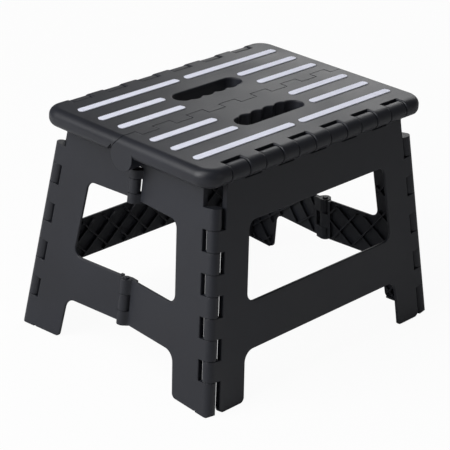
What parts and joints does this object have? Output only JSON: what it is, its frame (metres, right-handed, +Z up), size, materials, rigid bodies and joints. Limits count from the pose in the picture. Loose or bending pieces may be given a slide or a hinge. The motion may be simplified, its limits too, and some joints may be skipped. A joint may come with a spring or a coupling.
{
  "type": "folding step stool",
  "caption": "Plastic step stool with a slatted-grip top and splayed panel legs that folds flat when the middle of the top is lifted by its handle slots.",
  "frame": {"origin": "on the floor under the middle of the top", "axes": "+X along the grip strips, +Y to the rear leg panel, +Z up"},
  "size_m": [0.3044, 0.2458, 0.22],
  "materials": {
    "black_plastic": "fine matt texture, moulded polypropylene",
    "grip_rubber": "matt, cross ridged, pale lavender grey",
    "hinge_steel": "plain drawn rod"
  },
  "bodies": {
    "front_leg": {"front_leg_panel": "black_plastic", "front_leg_hinge_rod": "hinge_steel", "front_left_corner_rod": "hinge_steel", "front_right_corner_rod": "hinge_steel"},
    "front_top": {"top_front": "black_plastic", "centre_hinge_rod": "hinge_steel", "grip_strip_front_1": "grip_rubber", "grip_strip_front_2": "grip_rubber", "grip_strip_front_3": "grip_rubber", "grip_strip_front_4": "grip_rubber", "grip_strip_front_5": "grip_rubber", "grip_strip_front_6": "grip_rubber"},
    "rear_top": {"top_rear": "black_plastic", "grip_strip_rear_1": "grip_rubber", "grip_strip_rear_2": "grip_rubber", "grip_strip_rear_3": "grip_rubber", "grip_strip_rear_4": "grip_rubber", "grip_strip_rear_5": "grip_rubber", "grip_strip_rear_6": "grip_rubber"},
    "rear_leg": {"rear_leg_panel": "black_plastic", "rear_leg_hinge_rod": "hinge_steel", "rear_left_corner_rod": "hinge_steel", "rear_right_corner_rod": "hinge_steel"},
    "left_front_end": {"left_end_front": "black_plastic", "left_upper_middle_pin": "black_plastic", "left_lower_middle_pin": "black_plastic"},
    "left_rear_end": {"left_end_rear": "black_plastic"},
    "right_rear_end": {"right_end_rear": "black_plastic", "right_upper_middle_pin": "black_plastic", "right_lower_middle_pin": "black_plastic"},
    "right_front_end": {"right_end_front": "black_plastic"}
  },
  "joints": [
    {"name": "fold", "type": "hinge", "parent": "front_leg", "child": "front_top", "pos_m": [0, -0.0965, 0.2102], "axis": [1, 0, 0], "range_deg": [0, 77.12]},
    {"name": "centre_hinge", "type": "hinge", "parent": "front_top", "child": "rear_top", "pos_m": [0, 0, 0.2027], "axis": [1, 0, 0], "range_deg": [-168, 0]},
    {"name": "rear_leg_hinge", "type": "hinge", "parent": "rear_top", "child": "rear_leg", "pos_m": [0, 0.0965, 0.2102], "axis": [1, 0, 0], "range_deg": [0, 77.12]},
    {"name": "front_left_corner", "type": "hinge", "parent": "front_leg", "child": "left_front_end", "pos_m": [-0.1222, -0.09163, 0.20961], "axis": [-0.113, -0.119, -0.9864], "range_deg": [0, 82.86]},
    {"name": "front_right_corner", "type": "hinge", "parent": "front_leg", "child": "right_front_end", "pos_m": [0.1222, -0.09163, 0.20961], "axis": [-0.113, 0.119, 0.9864], "range_deg": [0, 82.86]},
    {"name": "rear_left_corner", "type": "hinge", "parent": "rear_leg", "child": "left_rear_end", "pos_m": [-0.1222, 0.09163, 0.20961], "axis": [0.113, -0.119, 0.9864], "range_deg": [0, 82.86]},
    {"name": "rear_right_corner", "type": "hinge", "parent": "rear_leg", "child": "right_rear_end", "pos_m": [0.1222, 0.09163, 0.20961], "axis": [0.113, 0.119, -0.9864], "range_deg": [0, 82.86]}
  ],
  "couplings": [
    {"joint": "centre_hinge", "follows": "fold", "ratio": -2.1784},
    {"joint": "rear_leg_hinge", "follows": "fold", "ratio": 1},
    {"joint": "front_left_corner", "follows": "fold", "ratio": 1.0744},
    {"joint": "front_right_corner", "follows": "fold", "ratio": 1.0744},
    {"joint": "rear_left_corner", "follows": "fold", "ratio": 1.0744},
    {"joint": "rear_right_corner", "follows": "fold", "ratio": 1.0744}
  ]
}
